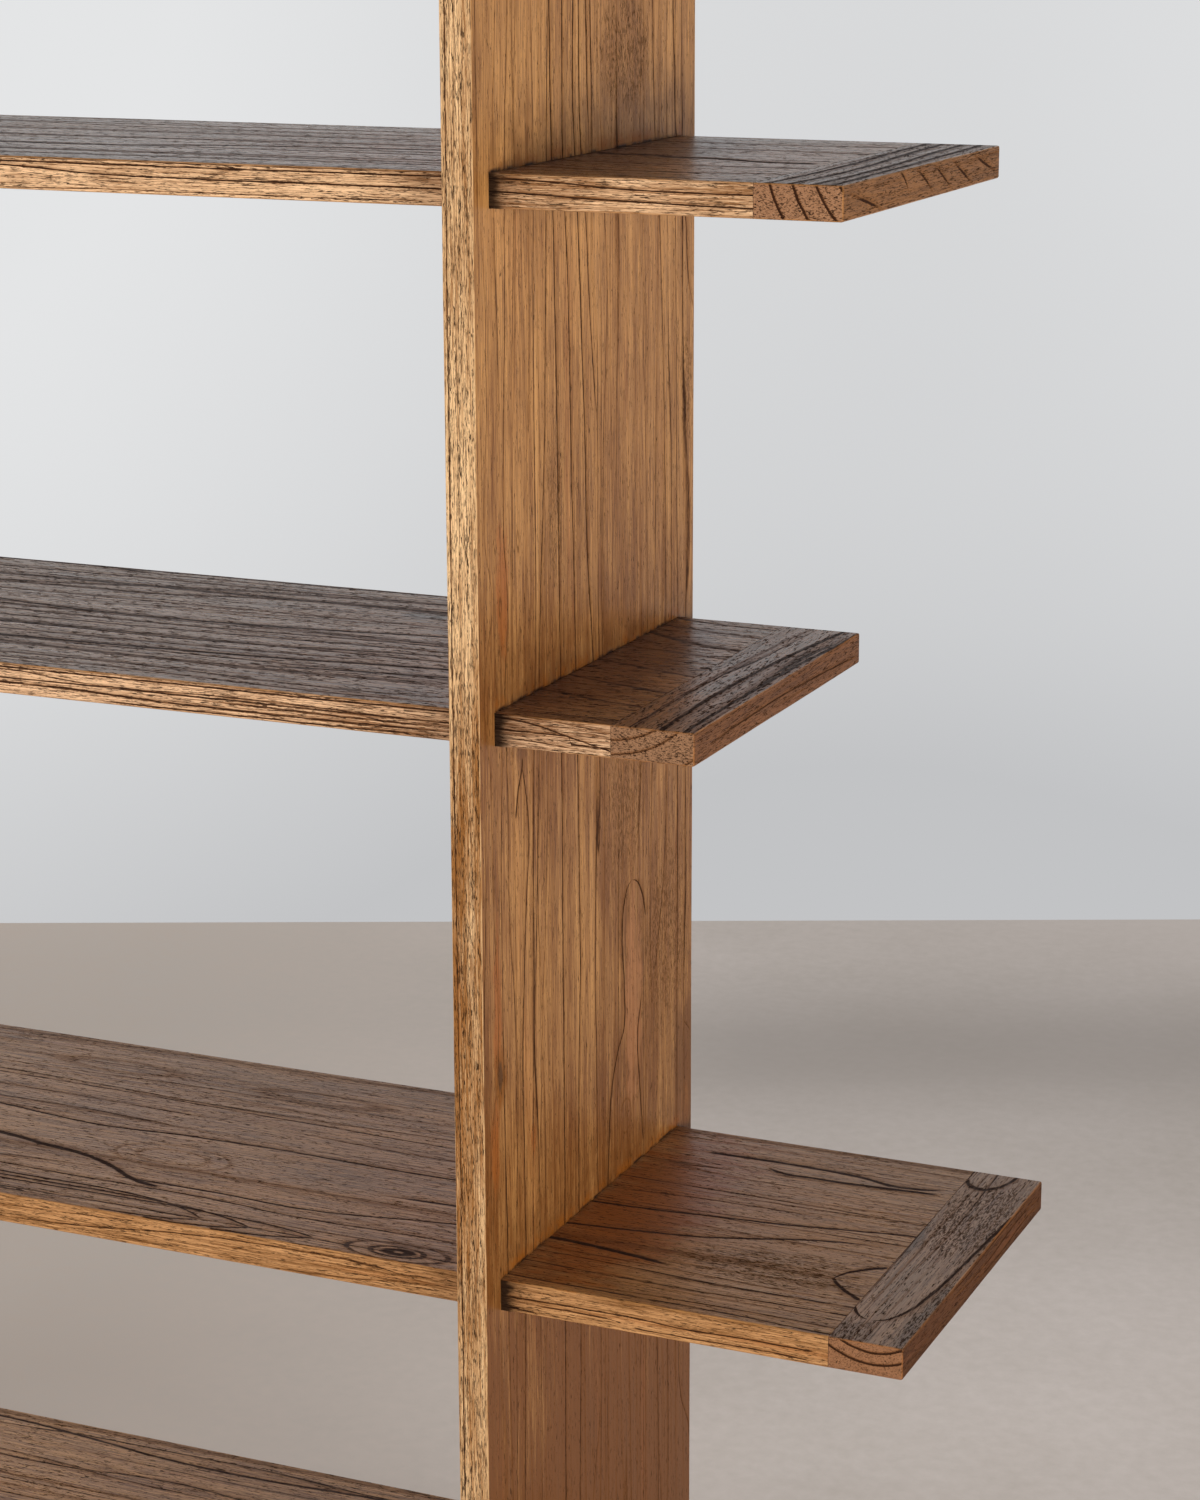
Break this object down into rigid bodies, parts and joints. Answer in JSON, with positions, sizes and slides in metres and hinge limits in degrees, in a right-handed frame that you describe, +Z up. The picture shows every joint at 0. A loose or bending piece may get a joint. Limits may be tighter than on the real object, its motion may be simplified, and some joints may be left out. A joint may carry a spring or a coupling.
{
  "type": "bookcase",
  "caption": "Tall open bookcase: slotted wooden uprights carry through shelves with breadboard ends that reach past both sides by unequal lengths.",
  "frame": {"origin": "on the floor, under the middle of the bookcase's box", "axes": "+Z up along the uprights, -Y towards the front, +X along the shelves to the right seen from the front"},
  "size_m": [1.722, 0.4, 2.131],
  "materials": {
    "wood_upright": "satin golden brown stain",
    "wood_board": "satin brown stain",
    "wood_end": "satin brown stain",
    "wood_spline": "bare",
    "screw_steel": "zinc plated",
    "glide_plastic": "moulded"
  },
  "bodies": {
    "root": {"upright_left": "wood_upright", "glide_left_front": "glide_plastic", "glide_left_rear": "glide_plastic", "upright_right": "wood_upright", "glide_right_front": "glide_plastic", "glide_right_rear": "glide_plastic", "shelf_1_board": "wood_board", "shelf_1_end_left": "wood_end", "shelf_1_spline_left": "wood_spline", "lock_screw_left_1": "screw_steel", "screw_plug_left_1": "wood_end", "shelf_1_end_right": "wood_end", "shelf_1_spline_right": "wood_spline", "lock_screw_right_1": "screw_steel", "screw_plug_right_1": "wood_end", "shelf_2_board": "wood_board", "shelf_2_end_left": "wood_end", "shelf_2_spline_left": "wood_spline", "lock_screw_left_2": "screw_steel", "screw_plug_left_2": "wood_end", "shelf_2_end_right": "wood_end", "shelf_2_spline_right": "wood_spline", "lock_screw_right_2": "screw_steel", "screw_plug_right_2": "wood_end", "shelf_3_board": "wood_board", "shelf_3_end_left": "wood_end", "shelf_3_spline_left": "wood_spline", "lock_screw_left_3": "screw_steel", "screw_plug_left_3": "wood_end", "shelf_3_end_right": "wood_end", "shelf_3_spline_right": "wood_spline", "lock_screw_right_3": "screw_steel", "screw_plug_right_3": "wood_end", "shelf_4_board": "wood_board", "shelf_4_end_left": "wood_end", "shelf_4_spline_left": "wood_spline", "lock_screw_left_4": "screw_steel", "screw_plug_left_4": "wood_end", "shelf_4_end_right": "wood_end", "shelf_4_spline_right": "wood_spline", "lock_screw_right_4": "screw_steel", "screw_plug_right_4": "wood_end", "shelf_5_board": "wood_board", "shelf_5_end_left": "wood_end", "shelf_5_spline_left": "wood_spline", "lock_screw_left_5": "screw_steel", "screw_plug_left_5": "wood_end", "shelf_5_end_right": "wood_end", "shelf_5_spline_right": "wood_spline", "lock_screw_right_5": "screw_steel", "screw_plug_right_5": "wood_end", "shelf_6_board": "wood_board", "shelf_6_end_left": "wood_end", "shelf_6_spline_left": "wood_spline", "lock_screw_left_6": "screw_steel", "screw_plug_left_6": "wood_end", "shelf_6_end_right": "wood_end", "shelf_6_spline_right": "wood_spline", "lock_screw_right_6": "screw_steel", "screw_plug_right_6": "wood_end"}
  },
  "joints": []
}
